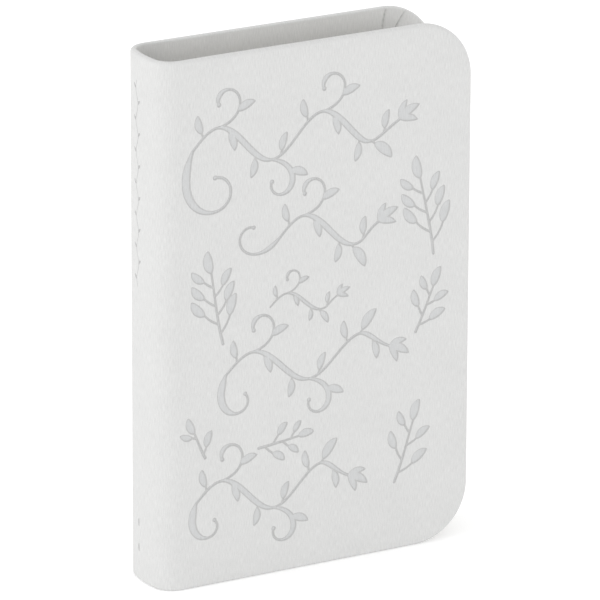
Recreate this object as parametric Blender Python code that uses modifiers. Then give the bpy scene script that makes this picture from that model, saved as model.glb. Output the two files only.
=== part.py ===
"""A pocket prayer book with a padded leatherette cover, standing on its tail edge.

Z runs up the book, X from the spine (-X) to the fore-edge (+X), and Y through its thickness,
with the front cover facing -Y. The origin is the centre of the footprint on the table.
Every cover piece hangs on an empty at its cover's hinge line, and every section of pages has
its origin on its own fold, because those are the lines they turn about.
"""

import math

import bmesh
import bpy

MM = 0.001

# Driving dimensions of the closed book.
HEIGHT = 165 * MM
WIDTH = 106 * MM
THICKNESS = 24 * MM
COVER = 2.4 * MM
CORNER_RADIUS = 18 * MM
SPINE_ROUND = 7.0 * MM
SPINE_CROWN = 0.35 * MM
HEAD_SQUARE = 8.0 * MM
FORE_SQUARE = 6.5 * MM

# Materials' thicknesses, and the clearance between pieces that lie on each other.
GAP = 0.05 * MM
LEATHERETTE = 0.45 * MM
TURN_IN = 0.35 * MM
FOAM = 0.40 * MM
PASTEDOWN = 0.15 * MM
FLYLEAF = 0.15 * MM
CARD = 0.60 * MM
LINING = 0.25 * MM
MULL = 0.30 * MM
TAPE = 0.30 * MM
BACKING_INSET = 1.1 * MM
JOINT_STRIP = 0.80 * MM
EDGE_ROUND = 0.5 * MM
ARC_STEPS = 10

# How far the leatherette is folded in round the boards, and how much of that shows.
TURN_IN_WIDTH = 15 * MM
TURN_IN_SHOWN = 7.5 * MM

# Distances from the spine's outer face.
COVER_START = 7.4 * MM
HINGE_INSET = 2.7 * MM
POCKET_START = 0.85 * MM
FOLD_INSET = 3.2 * MM
SPINE_FLAT = 10 * MM

SECTION_COUNT = 10
FOLD_TAPER = 7 * MM
FOLD_THICKNESS = 0.3 * MM
FLYLEAF_START = 2 * MM
TAPE_WIDTH = 10 * MM
TAPE_HEIGHTS = {"head_tape": 0.80, "middle_tape": 0.50, "tail_tape": 0.20}
HEADBAND_RADIUS = 0.75 * MM
HEADBAND_FLANGE = 8 * MM

# The cover faces and the page block that follow from them.
OUTER_FACE = THICKNESS / 2
INNER_FACE = OUTER_FACE - COVER
SPINE_FACE = -WIDTH / 2
BLOCK_TOP = HEIGHT - HEAD_SQUARE
BLOCK_END = WIDTH / 2 - FORE_SQUARE
BLOCK_HALF = INNER_FACE - FLYLEAF - 3 * GAP
SECTION_PITCH = 2 * BLOCK_HALF / SECTION_COUNT
BACKING_HALF = BLOCK_HALF - BACKING_INSET
POCKET_DEPTH = CARD + 2 * GAP
POCKET_END = POCKET_START + POCKET_DEPTH
LINING_START = POCKET_END + TURN_IN + GAP
MULL_START = LINING_START + LINING + GAP
TAPE_START = MULL_START + MULL + GAP

LEATHERETTE_COLOUR = (0.78, 0.78, 0.76)
BOARD_COLOUR = (0.42, 0.40, 0.36)
FOAM_COLOUR = (0.85, 0.85, 0.82)
ENDPAPER_COLOUR = (0.80, 0.80, 0.78)
PAGE_COLOUR = (0.84, 0.81, 0.74)
GAUZE_COLOUR = (0.72, 0.68, 0.58)
KRAFT_COLOUR = (0.50, 0.38, 0.24)
TAPE_COLOUR = (0.75, 0.73, 0.68)
HEADBAND_COLOUR = (0.70, 0.71, 0.72)


def clear_scene():
    """Starts from an empty scene."""
    for item in list(bpy.data.objects):
        bpy.data.objects.remove(item, do_unlink=True)


def new_collection(name, hidden=False):
    """A collection of that name under the scene."""
    collection = bpy.data.collections.new(name)
    bpy.context.scene.collection.children.link(collection)
    collection.hide_render = hidden
    return collection


def new_material(name, colour, roughness):
    """A plain non-metal Principled material."""
    material = bpy.data.materials.new(name)
    material.use_nodes = True
    shader = material.node_tree.nodes["Principled BSDF"]
    shader.inputs["Base Color"].default_value = (*colour, 1.0)
    shader.inputs["Roughness"].default_value = roughness
    shader.inputs["Metallic"].default_value = 0.0
    return material


def from_spine(distance):
    """The X position that far in from the spine's outer face."""
    return SPINE_FACE + distance


def arc(centre, radius, first, last, steps=ARC_STEPS):
    """Points on a circle between two angles in degrees."""
    points = []
    for step in range(steps + 1):
        angle = math.radians(first + (last - first) * step / steps)
        points.append((centre[0] + radius * math.cos(angle), centre[1] + radius * math.sin(angle)))
    return points


def leaf_outline(left, right, bottom, top, radius):
    """A leaf seen from the front: square corners at the spine, round ones at the fore-edge."""
    tail = arc((right - radius, bottom + radius), radius, -90, 0)
    head = arc((right - radius, top - radius), radius, 0, 90)
    return [(left, bottom), *tail, *head, (left, top)]


def solid(name, outline, thickness, collection, upright):
    """A flat outline made that thick about its own plane, as a closed mesh.

    An upright outline holds X and Z and is thick along Y; the others hold X and Y and rise in Z.
    """
    curve = bpy.data.curves.new(name + "_outline", "CURVE")
    curve.dimensions = "2D"
    curve.fill_mode = "BOTH"
    curve.extrude = thickness / 2
    spline = curve.splines.new("POLY")
    spline.points.add(len(outline) - 1)
    for point, (across, along) in zip(spline.points, outline):
        point.co = (across, along, 0, 1)
    spline.use_cyclic_u = True
    drawn = bpy.data.objects.new(name + "_outline", curve)
    collection.objects.link(drawn)
    if upright:
        drawn.rotation_euler = (math.pi / 2, 0, 0)
    bpy.context.view_layer.update()
    evaluated = drawn.evaluated_get(bpy.context.evaluated_depsgraph_get())
    mesh = bpy.data.meshes.new_from_object(evaluated)
    mesh.transform(drawn.matrix_world)
    mesh.name = name
    weld(mesh)
    bpy.data.objects.remove(drawn, do_unlink=True)
    made = bpy.data.objects.new(name, mesh)
    collection.objects.link(made)
    return made


def weld(mesh):
    """Joins a drawn outline's loose caps to its walls and turns every face outwards."""
    shape = bmesh.new()
    shape.from_mesh(mesh)
    bmesh.ops.remove_doubles(shape, verts=shape.verts, dist=0.001 * MM)
    bmesh.ops.recalc_face_normals(shape, faces=shape.faces)
    shape.to_mesh(mesh)
    shape.free()


def plate(name, outline, near, far, collection):
    """An upright plate between two Y positions."""
    made = solid(name, outline, far - near, collection, upright=True)
    made.location.y = (near + far) / 2
    return made


def column(name, outline, bottom, top, collection):
    """A plan outline raised between two heights."""
    made = solid(name, outline, top - bottom, collection, upright=False)
    made.location.z = (bottom + top) / 2
    return made


def box(name, low, high, collection):
    """A box between two corners."""
    mesh = bpy.data.meshes.new(name)
    shape = bmesh.new()
    bmesh.ops.create_cube(shape, size=1)
    bmesh.ops.scale(shape, vec=[b - a for a, b in zip(low, high)], verts=shape.verts)
    shape.to_mesh(mesh)
    shape.free()
    made = bpy.data.objects.new(name, mesh)
    made.location = [(a + b) / 2 for a, b in zip(low, high)]
    collection.objects.link(made)
    return made


def round_edges(item, width=EDGE_ROUND):
    """Softens an object's sharp edges."""
    bevel = item.modifiers.new("soft_edges", "BEVEL")
    bevel.width = width
    bevel.segments = 2
    bevel.limit_method = "ANGLE"
    bevel.angle_limit = math.radians(50)


def combine(item, other, operation):
    """An exact Boolean that cuts other out of item, or keeps only what they share."""
    other.hide_render = True
    other.display_type = "WIRE"
    boolean = item.modifiers.new(operation.lower() + "_" + other.name, "BOOLEAN")
    boolean.operation = operation
    boolean.solver = "EXACT"
    boolean.object = other


def finish(item, material, hinge=None):
    """Gives a piece its material, smooth shading and the hinge it turns on."""
    item.data.materials.append(material)
    item.data.shade_smooth()
    item.data.set_sharp_from_angle(angle=math.radians(35))
    if hinge is not None:
        bpy.context.view_layer.update()
        item.parent = hinge
        item.matrix_parent_inverse = hinge.matrix_world.inverted()
    return item


def hinge_line(name, x, y, collection):
    """An empty on the vertical line that a cover turns about."""
    empty = bpy.data.objects.new(name, None)
    empty.location = (x, y, 0)
    empty.empty_display_size = 10 * MM
    collection.objects.link(empty)
    return empty


def layer(side, near, far):
    """A layer's two Y positions, from its depths below the cover's outer face."""
    return sorted((side * (OUTER_FACE - near), side * (OUTER_FACE - far)))


def cover_outline(inset):
    """A cover's outline, drawn in by that much all round."""
    return leaf_outline(
        from_spine(COVER_START) + inset,
        WIDTH / 2 - inset,
        inset,
        HEIGHT - inset,
        CORNER_RADIUS - inset,
    )


def make_cover(prefix, side, parts, cutters, finishes):
    """One padded cover: its leatherette, foam, board and pastedown, on their hinge."""
    hinge = hinge_line(prefix + "_cover_hinge", *hinge_place(side), parts)
    foam_top = LEATHERETTE + GAP
    board_top = foam_top + FOAM + GAP
    flap_top = COVER - PASTEDOWN - GAP - TURN_IN
    paper_top = COVER - PASTEDOWN

    wrap_outline = cover_outline(0)
    wrap = plate(prefix + "_wrap", wrap_outline, *layer(side, 0, paper_top - GAP), parts)
    round_edges(wrap)
    pocket = cover_outline(LEATHERETTE)
    pocket_cut = plate(prefix + "_pocket", pocket, *layer(side, LEATHERETTE, flap_top), cutters)
    combine(wrap, pocket_cut, "DIFFERENCE")
    window = cover_outline(TURN_IN_WIDTH)
    window_cut = plate(prefix + "_window", window, *layer(side, board_top, COVER), cutters)
    combine(wrap, window_cut, "DIFFERENCE")
    finish(wrap, finishes["leatherette"], hinge)

    inner = cover_outline(LEATHERETTE + GAP)
    foam_layer = layer(side, foam_top, foam_top + FOAM)
    finish(plate(prefix + "_pad", inner, *foam_layer, parts), finishes["foam"], hinge)
    board_layer = layer(side, board_top, flap_top - GAP)
    finish(plate(prefix + "_board", inner, *board_layer, parts), finishes["board"], hinge)
    paper = cover_outline(TURN_IN_SHOWN)
    paper_layer = layer(side, paper_top, COVER)
    finish(plate(prefix + "_pastedown", paper, *paper_layer, parts), finishes["endpaper"], hinge)


def hinge_place(side):
    """X and Y of a cover's hinge line, level with the cover's inner face."""
    return from_spine(HINGE_INSET), side * (INNER_FACE - GAP)


def make_flyleaf(name, side, parts, finishes):
    """The free endpaper, with its origin on the fold it turns about."""
    reach = BLOCK_END - from_spine(FOLD_INSET)
    round_by = CORNER_RADIUS - FORE_SQUARE
    outline = leaf_outline(FLYLEAF_START, reach, HEAD_SQUARE, BLOCK_TOP, round_by)
    leaf = plate(name, outline, -FLYLEAF / 2, FLYLEAF / 2, parts)
    middle = side * (INNER_FACE - 2 * GAP - FLYLEAF / 2)
    leaf.location = (from_spine(FOLD_INSET), middle, 0)
    finish(leaf, finishes["endpaper"])


def make_sections(parts, cutters, finishes):
    """The sewn sections of pages, each with its origin on its fold and thin at that fold."""
    reach = BLOCK_END - from_spine(FOLD_INSET)
    half = (SECTION_PITCH - GAP) / 2
    fold = FOLD_THICKNESS / 2
    side_view = leaf_outline(0, reach, HEAD_SQUARE, BLOCK_TOP, CORNER_RADIUS - FORE_SQUARE)
    plan = [
        (0, -fold),
        (FOLD_TAPER, -half),
        (reach + FORE_SQUARE, -half),
        (reach + FORE_SQUARE, half),
        (FOLD_TAPER, half),
        (0, fold),
    ]
    for index in range(SECTION_COUNT):
        name = f"section_{index + 1:02d}"
        section = plate(name, side_view, -SECTION_PITCH, SECTION_PITCH, parts)
        shaper = column(name + "_plan", plan, 0, HEIGHT, cutters)
        middle = (index + 0.5) * SECTION_PITCH - BLOCK_HALF
        for piece in (section, shaper):
            piece.location.x = from_spine(FOLD_INSET)
            piece.location.y = middle
        combine(section, shaper, "INTERSECT")
        finish(section, finishes["page"])


def spine_outline(depth):
    """The spine strip in plan: crowned outside, flat inside at that depth."""
    half = SPINE_FLAT / 2
    radius = (half**2 + SPINE_CROWN**2) / (2 * SPINE_CROWN)
    spread = math.degrees(math.asin(half / radius))
    crown = arc((from_spine(radius), 0), radius, 180 - spread, 180 + spread)
    return [*crown, (from_spine(depth), -half), (from_spine(depth), half)]


def make_spine(parts, cutters, finishes):
    """The spine's leatherette, folded in at head and tail over a strip of card."""
    half = SPINE_FLAT / 2
    wrap = column("spine_wrap", spine_outline(LINING_START - GAP), 0, HEIGHT, parts)
    pocket_low = (from_spine(POCKET_START), -half + LEATHERETTE, LEATHERETTE)
    pocket_high = (from_spine(POCKET_END), half - LEATHERETTE, HEIGHT - LEATHERETTE)
    combine(wrap, box("spine_pocket", pocket_low, pocket_high, cutters), "DIFFERENCE")
    window_low = (from_spine(POCKET_END - GAP), -half + LEATHERETTE, TURN_IN_WIDTH)
    window_high = (from_spine(LINING_START), half - LEATHERETTE, HEIGHT - TURN_IN_WIDTH)
    combine(wrap, box("spine_window", window_low, window_high, cutters), "DIFFERENCE")
    finish(wrap, finishes["leatherette"])

    card_low = [value + GAP for value in pocket_low]
    card_high = [value - GAP for value in pocket_high]
    finish(box("spine_inlay", card_low, card_high, parts), finishes["board"])


def make_joint_strip(name, side, parts, finishes):
    """The bare leatherette that bends between the spine and a cover."""
    corner = (from_spine(SPINE_ROUND + SPINE_CROWN / 2), OUTER_FACE - SPINE_ROUND)
    inner_radius = SPINE_ROUND - JOINT_STRIP
    start = 180 - math.degrees(math.asin((SPINE_FLAT / 2 + GAP - corner[1]) / inner_radius))
    outer = arc(corner, SPINE_ROUND, start, 90)
    inner = arc(corner, inner_radius, 90, start)
    end = from_spine(COVER_START) - GAP
    outline = [*outer, (end, OUTER_FACE), (end, OUTER_FACE - JOINT_STRIP), *inner]
    placed = [(x, side * y) for x, y in outline]
    finish(column(name, placed, 0, HEIGHT, parts), finishes["leatherette"])


def make_backing(parts, finishes):
    """What holds the sections' folds together: paper lining, mull and sewing tapes."""
    lining_low = (from_spine(LINING_START), -BACKING_HALF, HEAD_SQUARE + GAP)
    lining_high = (from_spine(LINING_START + LINING), BACKING_HALF, BLOCK_TOP - GAP)
    finish(box("spine_lining", lining_low, lining_high, parts), finishes["kraft"])

    clear_of_bands = HEAD_SQUARE + HEADBAND_FLANGE + MM
    mull_low = (from_spine(MULL_START), -BACKING_HALF, clear_of_bands)
    mull_high = (from_spine(MULL_START + MULL), BACKING_HALF, HEIGHT - clear_of_bands)
    finish(box("mull", mull_low, mull_high, parts), finishes["gauze"])

    for name, share in TAPE_HEIGHTS.items():
        middle = HEIGHT * share
        low = (from_spine(TAPE_START), -BACKING_HALF, middle - TAPE_WIDTH / 2)
        high = (from_spine(TAPE_START + TAPE), BACKING_HALF, middle + TAPE_WIDTH / 2)
        finish(box(name, low, high, parts), finishes["tape"])


def make_headband(name, at_head, parts, finishes):
    """A headband: a bead over the sections' ends with a flange glued down their backs."""
    bead = (TAPE_START + HEADBAND_RADIUS, HEADBAND_RADIUS + GAP)
    profile = [
        (MULL_START, -HEADBAND_FLANGE),
        (MULL_START + MULL, -HEADBAND_FLANGE),
        (MULL_START + MULL, GAP),
        *arc(bead, HEADBAND_RADIUS, -90, 180),
        (MULL_START, bead[1]),
    ]
    if at_head:
        outline = [(from_spine(x), BLOCK_TOP + z) for x, z in profile]
    else:
        outline = [(from_spine(x), HEAD_SQUARE - z) for x, z in profile]
    band = plate(name, outline, -BACKING_HALF, BACKING_HALF, parts)
    finish(band, finishes["headband"])


def make_finishes():
    """The materials, by what they are."""
    return {
        "leatherette": new_material("leatherette", LEATHERETTE_COLOUR, 0.62),
        "board": new_material("board", BOARD_COLOUR, 0.90),
        "foam": new_material("foam", FOAM_COLOUR, 0.95),
        "endpaper": new_material("endpaper", ENDPAPER_COLOUR, 0.85),
        "page": new_material("page", PAGE_COLOUR, 0.88),
        "gauze": new_material("gauze", GAUZE_COLOUR, 0.95),
        "kraft": new_material("kraft", KRAFT_COLOUR, 0.90),
        "tape": new_material("tape", TAPE_COLOUR, 0.90),
        "headband": new_material("headband", HEADBAND_COLOUR, 0.55),
    }


def build():
    """Makes the whole book."""
    clear_scene()
    parts = new_collection("prayer_book")
    cutters = new_collection("cutters", hidden=True)
    finishes = make_finishes()
    for prefix, side in (("front", -1), ("back", 1)):
        make_cover(prefix, side, parts, cutters, finishes)
        make_flyleaf(prefix + "_flyleaf", side, parts, finishes)
        make_joint_strip(prefix + "_joint", side, parts, finishes)
    make_sections(parts, cutters, finishes)
    make_spine(parts, cutters, finishes)
    make_backing(parts, finishes)
    make_headband("headband", True, parts, finishes)
    make_headband("tailband", False, parts, finishes)


build()
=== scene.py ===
"""Looks of the pocket prayer book: leatherette skins, pressed ornament, endpapers and pages."""
import math

import bmesh
import bpy
import numpy as np
from mathutils import Matrix, Vector
from mathutils.geometry import delaunay_2d_cdt


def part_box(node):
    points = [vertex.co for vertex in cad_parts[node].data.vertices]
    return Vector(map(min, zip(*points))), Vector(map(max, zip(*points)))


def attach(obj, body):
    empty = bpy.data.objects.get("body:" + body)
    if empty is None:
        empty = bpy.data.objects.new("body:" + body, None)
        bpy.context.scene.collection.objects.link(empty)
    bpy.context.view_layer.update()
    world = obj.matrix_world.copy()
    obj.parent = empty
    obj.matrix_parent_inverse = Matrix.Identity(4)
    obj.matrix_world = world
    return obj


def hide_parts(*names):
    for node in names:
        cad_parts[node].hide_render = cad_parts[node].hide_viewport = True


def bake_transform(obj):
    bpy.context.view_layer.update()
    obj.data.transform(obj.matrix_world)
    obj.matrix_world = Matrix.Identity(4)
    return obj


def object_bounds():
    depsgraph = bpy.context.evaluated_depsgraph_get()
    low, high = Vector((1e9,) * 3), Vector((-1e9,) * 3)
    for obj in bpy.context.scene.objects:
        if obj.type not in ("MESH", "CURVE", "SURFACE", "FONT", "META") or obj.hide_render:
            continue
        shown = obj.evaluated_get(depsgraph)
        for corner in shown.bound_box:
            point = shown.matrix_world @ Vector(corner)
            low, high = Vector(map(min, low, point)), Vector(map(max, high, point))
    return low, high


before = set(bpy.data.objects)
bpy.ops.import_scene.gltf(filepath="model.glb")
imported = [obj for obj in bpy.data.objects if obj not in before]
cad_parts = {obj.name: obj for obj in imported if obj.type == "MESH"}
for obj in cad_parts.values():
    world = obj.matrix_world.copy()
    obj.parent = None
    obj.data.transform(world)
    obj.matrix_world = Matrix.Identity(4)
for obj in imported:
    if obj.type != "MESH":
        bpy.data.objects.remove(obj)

MM = 0.001
low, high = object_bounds()

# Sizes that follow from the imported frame, in millimetres.
SPINE_X = low.x / MM
FORE_X = high.x / MM
HEIGHT = high.z / MM
OUTER = high.y / MM
COVER_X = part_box("front_wrap")[0].x / MM
WRAP_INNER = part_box("back_wrap")[0].y / MM
PAPER_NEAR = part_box("back_pastedown")[0].y / MM
PAPER_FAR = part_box("back_pastedown")[1].y / MM
PAPER_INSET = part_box("back_pastedown")[0].z / MM
SPINE_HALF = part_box("spine_wrap")[1].y / MM
SPINE_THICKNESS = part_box("spine_wrap")[1].x / MM - SPINE_X
FOLD_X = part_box("section_01")[0].x / MM
BLOCK_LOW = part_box("section_01")[0].z / MM
BLOCK_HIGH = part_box("section_01")[1].z / MM
BLOCK_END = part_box("section_01")[1].x / MM
FLYLEAF_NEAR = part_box("back_flyleaf")[0].y / MM
FLYLEAF_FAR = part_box("back_flyleaf")[1].y / MM

# The cover's own form. A pleat is an angle up from the fore-edge in degrees, and a depth.
CORNER_RADIUS = 18.0
PAGE_RADIUS = CORNER_RADIUS - (FORE_X - BLOCK_END)
SPINE_ROUND = 7.0
SPINE_CROWN = 0.4
PILLOW = 0.35
PILLOW_EDGE = 9.0
JOINT_THICKNESS = 1.85
OUTER_RIM = 1.05
INNER_RIM = 0.6
RIM_RINGS = (0.0, 0.06, 0.18, 0.36, 0.58, 0.82, 1.06)
TURN_IN_RINGS = (2.4, 4.0, 5.8, 7.8)
PLEATS = ((8, 0.9), (33, 0.7), (38, 0.3), (60, 0.3), (65, 0.9), (87.5, 1.0))
PLEAT_LEAN = 15.0
PLEAT_REACH = 3.0
PLEAT_WIDTH = 1.15
# Painted shade on the turned-in face: how far in from the rim it deepens, and how far from the spine the
# joint's share reaches.
TURN_IN_SHADE_DEPTH = 7.0
TURN_IN_SHADE_FOLD = 16.0
GATHER_COLUMNS = 11
PLEAT_DEPTH = 0.4
BEND_STEP = 0.6
PANEL_STEP = 3.4
CORNER_STEPS = 72
JOINT_END = 3.0
PATH_STEP = 0.1
SEAM_Y = SPINE_HALF

# The pressed ornament: its grid, its depth, and the levels of its walls from the stroke's edge.
FIELD_STEP = 0.14
FIELD_FAR = 5.0
FIELD_MARGIN = 1.2
PRESS_DEPTH = 0.30
PRESS_LEVELS = (0.30, 0.16, 0.03, -0.10, -0.24)
WALL_TOP, WALL_FOOT = 0.16, -0.24
SIMPLIFY = 0.02

# The vines. Leaves are places in a wave's points, turns from the stem in degrees, and sizes; the
# widths and lengths of strokes are shares of a leaf's length.
WAVE_POINTS = 60
VINE_LEAVES = ((12, 62, 0.75), (26, 48, 1.0), (40, -42, 0.75))
VINE_TIP = ((38, 0.8), (-38, 0.8), (0, 1.0))
VINE_THICK, VINE_THIN = 0.30, 0.085
VINE_STALK = 0.2
TENDRIL_LENGTH, TENDRIL_TURN = 3.1, 290
TENDRIL_THICK, TENDRIL_THIN = 0.24, 0.08

# The pages.
LEAVES_IN_BUNDLE = 4
BUNDLES = 3
LEAF_SHARE = 0.72
FOLD_SPREAD = 0.12
FOLD_TAPER = 7.0
FOLD_COLUMNS = 9
LEAF_ROWS = 13

# The headbands' ribbed beads.
BEAD_RADIUS = 0.75
BEAD_STEP = 0.15
BEAD_SIDES = 16
RIB_PITCH = 0.8
RIB_DEPTH = 0.1

# The camera: its direction from the book, its distance and aim in millimetres, and its lens.
CAMERA_AZIMUTH = math.radians(-29.21)
CAMERA_ELEVATION = math.radians(18.635)
CAMERA_ROLL = math.radians(0.191)
CAMERA_DISTANCE = 1961.6
CAMERA_AIM = (0.5, -0.8, 81.1)
CAMERA_LENS = 392.3


# ---------------------------------------------------------------- the cover's plan

def plan_path():
    """The cover's outer line in plan, from the back fore-edge round the spine to the front one.

    Returns its points, its outward normals and each point's distance along it from the seam.
    """
    corner = np.array([SPINE_X + SPINE_CROWN + SPINE_ROUND, OUTER - SPINE_ROUND])
    xs = np.linspace(FORE_X, corner[0], 400)
    back = np.stack([xs, np.full(len(xs), OUTER)], 1)
    turn = np.radians(np.linspace(90, 180, 60))
    arc = corner + SPINE_ROUND * np.stack([np.cos(turn), np.sin(turn)], 1)
    ys = np.linspace(corner[1], -corner[1], 80)[1:-1]
    crown = np.stack([SPINE_X + SPINE_CROWN * (ys / corner[1]) ** 2, ys], 1)
    points = np.concatenate([back, arc[1:], crown, arc[::-1] * (1, -1), back[::-1][1:] * (1, -1)])
    along = running_length(points)
    even = np.arange(0, along[-1], PATH_STEP)
    points = smooth_line(np.stack([np.interp(even, along, points[:, i]) for i in (0, 1)], 1), 9)
    tangent = np.gradient(points, axis=0)
    tangent /= np.hypot(*tangent.T)[:, None]
    normals = np.stack([tangent[:, 1], -tangent[:, 0]], 1)
    along = running_length(points)
    on_spine = np.abs(points[:, 0] - SPINE_X) < 2.0
    seam = np.interp(-SEAM_Y, -points[on_spine, 1], along[on_spine])
    return points, normals, along - seam


def running_length(points):
    """Each point's distance along a line from its start."""
    return np.concatenate([[0], np.cumsum(np.hypot(*np.diff(points, axis=0).T))])


def smooth_line(points, half):
    """A running mean along a line, with its ends kept."""
    kernel = np.ones(2 * half + 1) / (2 * half + 1)
    out = points.copy()
    for axis in (0, 1):
        out[half:-half, axis] = np.convolve(points[:, axis], kernel, "valid")
    return out


PLAN, PLAN_NORMAL, PLAN_ALONG = plan_path()
FRONT_END = PLAN_ALONG[-1]
BACK_END = -PLAN_ALONG[0]


def plan_at(along):
    """Point and outward normal of the plan line at distances from the seam."""
    point = np.stack([np.interp(along, PLAN_ALONG, PLAN[:, i]) for i in (0, 1)], -1)
    normal = np.stack([np.interp(along, PLAN_ALONG, PLAN_NORMAL[:, i]) for i in (0, 1)], -1)
    return point, normal / np.hypot(normal[..., 0], normal[..., 1])[..., None]


def along_front(x):
    """Distance along the front panel's line of a place that far in from the spine's face."""
    ahead = PLAN[:, 1] < -OUTER + SPINE_ROUND
    return np.interp(SPINE_X + np.asarray(x, float), PLAN[ahead, 0], PLAN_ALONG[ahead])


def along_spine(y):
    """Distance along the spine's line of a Y position on it."""
    on_spine = np.abs(PLAN[:, 0] - SPINE_X) < 2.0
    return np.interp(-np.asarray(y, float), -PLAN[on_spine, 1], PLAN_ALONG[on_spine])


def step(value, start, end):
    """A smooth step from 0 at start to 1 at end."""
    t = np.clip((value - start) / (end - start), 0, 1)
    return t * t * (3 - 2 * t)


def thickness_at(point):
    """The skin's thickness: the spine with its card, the bare joint and the padded panel."""
    on_spine = 1 - step(np.abs(point[:, 1]), SPINE_HALF - 1, SPINE_HALF + 3)
    on_panel = step(point[:, 0], COVER_X - 2, COVER_X + 12)
    panel = OUTER - WRAP_INNER
    spine_part = (SPINE_THICKNESS - JOINT_THICKNESS) * on_spine
    return JOINT_THICKNESS + spine_part + (panel - JOINT_THICKNESS) * on_panel


# ---------------------------------------------------------------- pen strokes

def pressure(line, thick, thin):
    """Half widths of a pointed pen's stroke: broad where it heads down, fine where it rises."""
    heading = np.gradient(line, axis=0)
    down = np.clip(-heading[:, 1] / np.maximum(np.hypot(*heading.T), 1e-9), 0, 1)
    share = np.linspace(0, 1, len(line))
    ends = step(share, 0, 0.15) * (1 - step(share, 0.85, 1))
    return (thin + (thick - thin) * smooth_values(down * ends)) / 2


def smooth_values(values, half=3):
    """A running mean of a list of values."""
    padded = np.pad(values, half, mode="edge")
    return np.convolve(padded, np.ones(2 * half + 1) / (2 * half + 1), "valid")


def headings(line):
    """The direction of a line at each of its points, in radians."""
    along = np.gradient(line, axis=0)
    return np.arctan2(along[:, 1], along[:, 0])


def flourish(start, heading, length, curl_start, curl_end, count=60):
    """A free stroke whose bend, in degrees per millimetre, changes evenly from end to end."""
    share = np.linspace(0, 1, count)
    pace = length / (count - 1)
    turn = curl_start + (curl_end - curl_start) * share
    angle = np.radians(heading + np.concatenate([[0], np.cumsum(turn[:-1] * pace)]))
    steps = pace * np.stack([np.cos(angle), np.sin(angle)], 1)
    return np.asarray(start, float) + np.concatenate([[[0, 0]], np.cumsum(steps[:-1], axis=0)])


def pen_flourish(start, heading, length, curl_start, curl_end, thick, thin):
    """A free pen stroke that ends in a small ball."""
    line = flourish(start, heading, length, curl_start, curl_end)
    return [(line, pressure(line, thick, thin)), ball(line[-1], thin * 0.9)]


def ball(centre, radius):
    """A round dot."""
    return np.stack([centre, np.asarray(centre) + 0.01]), np.full(2, radius)


def leaf(base, angle, length, width):
    """A pointed leaf with a slightly bowed middle line."""
    share = np.linspace(0, 1, 18)
    bow = 0.08 * length * np.sin(math.pi * share)
    direction = np.array([math.cos(angle), math.sin(angle)])
    across = np.array([-direction[1], direction[0]])
    line = np.asarray(base) + share[:, None] * length * direction + bow[:, None] * across
    half = width / 2 * np.sin(math.pi * share**0.9) ** 0.8
    return line, np.maximum(half, 0.02)


def stalk(base, angle, length, bend, leaf_length, leaf_width):
    """A thin curved stalk with a leaf at its end."""
    line = flourish(base, math.degrees(angle), length, bend, bend, 14)
    last = line[-1] - line[-2]
    tip = leaf(line[-1], math.atan2(last[1], last[0]), leaf_length, leaf_width)
    return [(line, np.linspace(0.26, 0.2, len(line))), tip]


def sprig(base, heading, length, bend, pairs, leaf_length, leaf_width):
    """A bowed stem with stalked leaves on both sides and one at its tip."""
    stem = flourish(base, heading, length, bend, -bend / 2, 40)
    strokes = [(stem, np.linspace(0.36, 0.22, len(stem)))]
    angles = headings(stem)
    for index in range(2 * pairs):
        side = 1 if index % 2 else -1
        share = 0.16 + 0.66 * index / (2 * pairs - 1)
        place_at = int(share * (len(stem) - 1))
        angle = angles[place_at] + side * math.radians(56)
        size = 1.0 - 0.28 * share
        reach = 0.30 * length * (1 - 0.55 * share)
        strokes += stalk(stem[place_at], angle, reach, -side * 4.5, leaf_length * size, leaf_width * size)
    strokes.append(leaf(stem[-1], angles[-1], leaf_length, leaf_width))
    return strokes


def vine_row(left, right, middle, waves, sway, leaf_length):
    """A leafy vine: a swelling wavy stem, with a tendril and leaves at each of its crests."""
    share = np.linspace(0, 1, WAVE_POINTS * waves)
    rise = np.sin(math.pi * waves * share) * (1 - 0.5 * step(share, 0.8, 1))
    stem = np.stack([left + (right - left) * share, middle + sway * rise], 1)
    angles = headings(stem)
    strokes = [(stem, pressure(stem, VINE_THICK * leaf_length, VINE_THIN * leaf_length))]
    for wave in range(waves):
        up = 1 if wave % 2 == 0 else -1
        first = WAVE_POINTS * wave
        crest = first + WAVE_POINTS // 2
        leaves = VINE_LEAVES
        if wave < waves - 1:
            strokes += tendril(stem[crest], angles[crest], up, leaf_length)
            leaves = (VINE_LEAVES[0], VINE_LEAVES[2])
        for place_at, turn, size in leaves:
            spot = first + place_at
            angle = angles[spot] + up * math.radians(turn)
            length = leaf_length * size
            strokes += stalk(stem[spot], angle, VINE_STALK * leaf_length, 0.0, length, 0.42 * length)
    for turn, size in VINE_TIP:
        length = leaf_length * size
        strokes.append(leaf(stem[-1], angles[-1] + math.radians(turn), length, 0.36 * length))
    return strokes


def tendril(base, angle, up, leaf_length):
    """An open curl that leaves the vine at a crest, with a leaf on its back and a ball at its end."""
    length = TENDRIL_LENGTH * leaf_length
    turn = TENDRIL_TURN / length
    line = flourish(base, math.degrees(angle) + up * 14, length, up * 0.3 * turn, up * 1.7 * turn)
    spot = len(line) // 3
    back = headings(line)[spot] - up * math.radians(42)
    return [
        (line, pressure(line, TENDRIL_THICK * leaf_length, TENDRIL_THIN * leaf_length)),
        ball(line[-1], TENDRIL_THIN * leaf_length),
        leaf(line[spot], back, 0.8 * leaf_length, 0.34 * leaf_length),
    ]


def vine_foot(start, heading, length, curl_start, curl_end, thick=2.4, thin=0.6):
    """The curled stroke that a vine grows from."""
    return pen_flourish(start, heading, length, curl_start, curl_end, thick, thin)


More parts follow.
